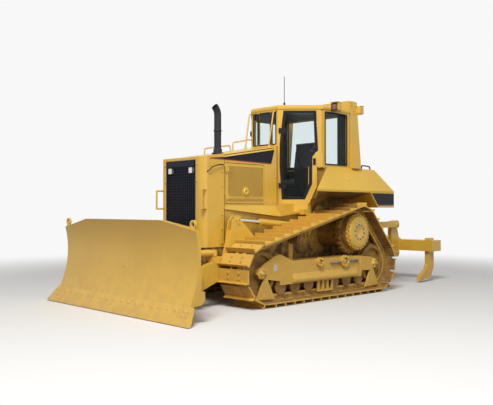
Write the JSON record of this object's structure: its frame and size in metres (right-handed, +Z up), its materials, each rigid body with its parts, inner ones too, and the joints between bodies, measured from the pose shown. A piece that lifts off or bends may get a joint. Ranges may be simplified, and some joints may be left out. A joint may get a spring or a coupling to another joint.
{
  "type": "bulldozer",
  "caption": "Tracked bulldozer with an angling and tilting front blade, raised drive sprockets, a glazed cab and a rear multi-shank ripper on a parallel linkage.",
  "frame": {"origin": "on the ground, at the middle of the bounding box in plan", "axes": "+X forward to the blade, +Y to the machine's left, +Z up"},
  "size_m": [6.501, 3.274, 3.44],
  "materials": {
    "yellow_paint": "gloss enamel",
    "track_paint": "satin enamel on track steel",
    "black_paint": "satin black enamel",
    "chrome_rod": "polished rod",
    "cast_metal": "as cast, painted",
    "edge_steel": "worn wear steel",
    "clear_glass": "clear safety glass",
    "lamp_lens": "clear lamp lens in a dark shell",
    "seat_cover": "black vinyl",
    "dark_plastic": "textured plastic"
  },
  "bodies": {
    "chassis": {"antenna": "dark_plastic", "cab_controls": "dark_plastic", "cab_floor": "yellow_paint", "cab_front_wall": "yellow_paint", "cab_rear_wall": "yellow_paint", "cab_roof": "yellow_paint", "cab_side_walls": "yellow_paint", "cab_windows": "clear_glass", "engine_block": "cast_metal", "exhaust_stack": "black_paint", "fenders": "yellow_paint", "fuel_tank": "yellow_paint", "grille": "black_paint", "head_lamps": "lamp_lens", "hood": "yellow_paint", "hood_rail": "yellow_paint", "main_frame": "yellow_paint", "operator_seat": "seat_cover", "radiator_guard": "yellow_paint", "ripper_mount": "yellow_paint", "roll_bar": "yellow_paint", "side_skirts": "yellow_paint", "sprocket_left": "yellow_paint", "sprocket_right": "yellow_paint", "track_frame_left": "yellow_paint", "track_frame_right": "yellow_paint", "track_left": "track_paint", "track_right": "track_paint", "wheels_left": "track_paint", "wheels_right": "track_paint", "work_lamps": "dark_plastic"},
    "push_frame": {"push_frame": "yellow_paint"},
    "blade_swivel": {"blade_swivel": "yellow_paint"},
    "blade": {"blade": "yellow_paint", "cutting_edge": "edge_steel", "lifting_eyes": "yellow_paint"},
    "lift_barrels": {"lift_barrels": "black_paint"},
    "lift_rods": {"lift_rods": "chrome_rod"},
    "angle_barrel_left": {"angle_barrel_left": "black_paint"},
    "angle_rod_left": {"angle_rod_left": "chrome_rod"},
    "angle_barrel_right": {"angle_barrel_right": "black_paint"},
    "angle_rod_right": {"angle_rod_right": "chrome_rod"},
    "tilt_barrel": {"tilt_barrel": "black_paint"},
    "tilt_rod": {"tilt_rod": "chrome_rod"},
    "ripper_lower_link": {"ripper_lower_link": "yellow_paint"},
    "ripper_upper_links": {"ripper_upper_links": "yellow_paint"},
    "ripper_beam": {"ripper_beam": "yellow_paint", "ripper_shanks": "yellow_paint"},
    "ripper_barrels": {"ripper_barrels": "black_paint"},
    "ripper_rods": {"ripper_rods": "chrome_rod"},
    "cab_door_left": {"cab_door_left": "black_paint", "cab_door_glass_left": "clear_glass"},
    "cab_door_right": {"cab_door_right": "black_paint", "cab_door_glass_right": "clear_glass"},
    "engine_door_left": {"engine_door_left": "yellow_paint"},
    "engine_door_right": {"engine_door_right": "yellow_paint"}
  },
  "joints": [
    {"name": "blade_lift", "type": "hinge", "parent": "chassis", "child": "push_frame", "pos_m": [1.2595, 0, 0.6], "axis": [0, -1, 0], "range_deg": [-15, 30.5]},
    {"name": "blade_angle", "type": "hinge", "parent": "push_frame", "child": "blade_swivel", "pos_m": [2.6395, 0, 0.48], "axis": [0, 0, 1], "range_deg": [-24, 24]},
    {"name": "blade_tilt", "type": "hinge", "parent": "blade_swivel", "child": "blade", "pos_m": [2.6395, 0, 0.48], "axis": [1, 0, 0], "range_deg": [-7, 7]},
    {"name": "ripper_lift", "type": "hinge", "parent": "chassis", "child": "ripper_lower_link", "pos_m": [-1.7905, 0, 0.52], "axis": [0, 1, 0], "range_deg": [-25, 22]},
    {"name": "cab_door_left_swing", "type": "hinge", "parent": "chassis", "child": "cab_door_left", "pos_m": [0.35314, 0.31758, 2.13], "axis": [0, 0, -1], "range_deg": [0, 70]},
    {"name": "cab_door_right_swing", "type": "hinge", "parent": "chassis", "child": "cab_door_right", "pos_m": [0.35314, -0.31758, 2.13], "axis": [0, 0, 1], "range_deg": [0, 70]},
    {"name": "engine_door_left_swing", "type": "hinge", "parent": "chassis", "child": "engine_door_left", "pos_m": [1.6245, 0.482, 1.7], "axis": [0, 0, -1], "range_deg": [0, 95]},
    {"name": "engine_door_right_swing", "type": "hinge", "parent": "chassis", "child": "engine_door_right", "pos_m": [1.6245, -0.482, 1.7], "axis": [0, 0, 1], "range_deg": [0, 95]},
    {"name": "lift_barrel_swing", "type": "hinge", "parent": "chassis", "child": "lift_barrels", "pos_m": [0.2595, 0, 1.08], "axis": [0, -1, 0], "range_deg": [-4, 7.5]},
    {"name": "lift_rod_stroke", "type": "slide", "parent": "lift_barrels", "child": "lift_rods", "axis": [0.9968, 0, 0.0801], "range_m": [-0.312, 0.154]},
    {"name": "angle_barrel_left_swing", "type": "hinge", "parent": "push_frame", "child": "angle_barrel_left", "pos_m": [1.9595, 0.6075, 0.74], "axis": [0, 0, 1], "range_deg": [-1.3, 1.3]},
    {"name": "angle_rod_left_stroke", "type": "slide", "parent": "angle_barrel_left", "child": "angle_rod_left", "axis": [0.9909, -0.1348, 0], "range_m": [-0.21, 0.21]},
    {"name": "angle_barrel_right_swing", "type": "hinge", "parent": "push_frame", "child": "angle_barrel_right", "pos_m": [1.9595, -0.6075, 0.74], "axis": [0, 0, 1], "range_deg": [-1.3, 1.3]},
    {"name": "angle_rod_right_stroke", "type": "slide", "parent": "angle_barrel_right", "child": "angle_rod_right", "axis": [0.9909, 0.1348, 0], "range_m": [-0.21, 0.21]},
    {"name": "tilt_barrel_swing", "type": "hinge", "parent": "blade_swivel", "child": "tilt_barrel", "pos_m": [2.8915, -0.3, 0.93], "axis": [1, 0, 0], "range_deg": [-4, 4]},
    {"name": "tilt_rod_stroke", "type": "slide", "parent": "tilt_barrel", "child": "tilt_rod", "axis": [0, 0.9995, 0.0308], "range_m": [-0.057, 0.057]},
    {"name": "ripper_upper_swing", "type": "hinge", "parent": "chassis", "child": "ripper_upper_links", "pos_m": [-1.7905, 0, 1.05], "axis": [0, 1, 0], "range_deg": [-25.5, 22.5]},
    {"name": "ripper_beam_level", "type": "hinge", "parent": "ripper_lower_link", "child": "ripper_beam", "pos_m": [-2.7705, 0, 0.52], "axis": [0, 1, 0], "range_deg": [-22.5, 25.5]},
    {"name": "ripper_barrel_swing", "type": "hinge", "parent": "chassis", "child": "ripper_barrels", "pos_m": [-1.9105, 0, 1.05], "axis": [0, 1, 0], "range_deg": [-23.6, 21]},
    {"name": "ripper_rod_stroke", "type": "slide", "parent": "ripper_barrels", "child": "ripper_rods", "axis": [-0.8662, 0, -0.4997], "range_m": [-0.185, 0.21]}
  ],
  "couplings": [
    {"joint": "lift_barrel_swing", "follows": "blade_lift", "ratio": 0.235},
    {"joint": "lift_rod_stroke", "follows": "blade_lift", "m_per_rad": -0.584},
    {"joint": "angle_barrel_left_swing", "follows": "blade_angle", "ratio": 0.05},
    {"joint": "angle_rod_left_stroke", "follows": "blade_angle", "m_per_rad": -0.498},
    {"joint": "angle_barrel_right_swing", "follows": "blade_angle", "ratio": 0.05},
    {"joint": "angle_rod_right_stroke", "follows": "blade_angle", "m_per_rad": 0.498},
    {"joint": "tilt_barrel_swing", "follows": "blade_tilt", "ratio": 0.56},
    {"joint": "tilt_rod_stroke", "follows": "blade_tilt", "m_per_rad": -0.459},
    {"joint": "ripper_upper_swing", "follows": "ripper_lift", "ratio": 1},
    {"joint": "ripper_beam_level", "follows": "ripper_lift", "ratio": -1},
    {"joint": "ripper_barrel_swing", "follows": "ripper_lift", "ratio": 0.93},
    {"joint": "ripper_rod_stroke", "follows": "ripper_lift", "m_per_rad": -0.477}
  ]
}
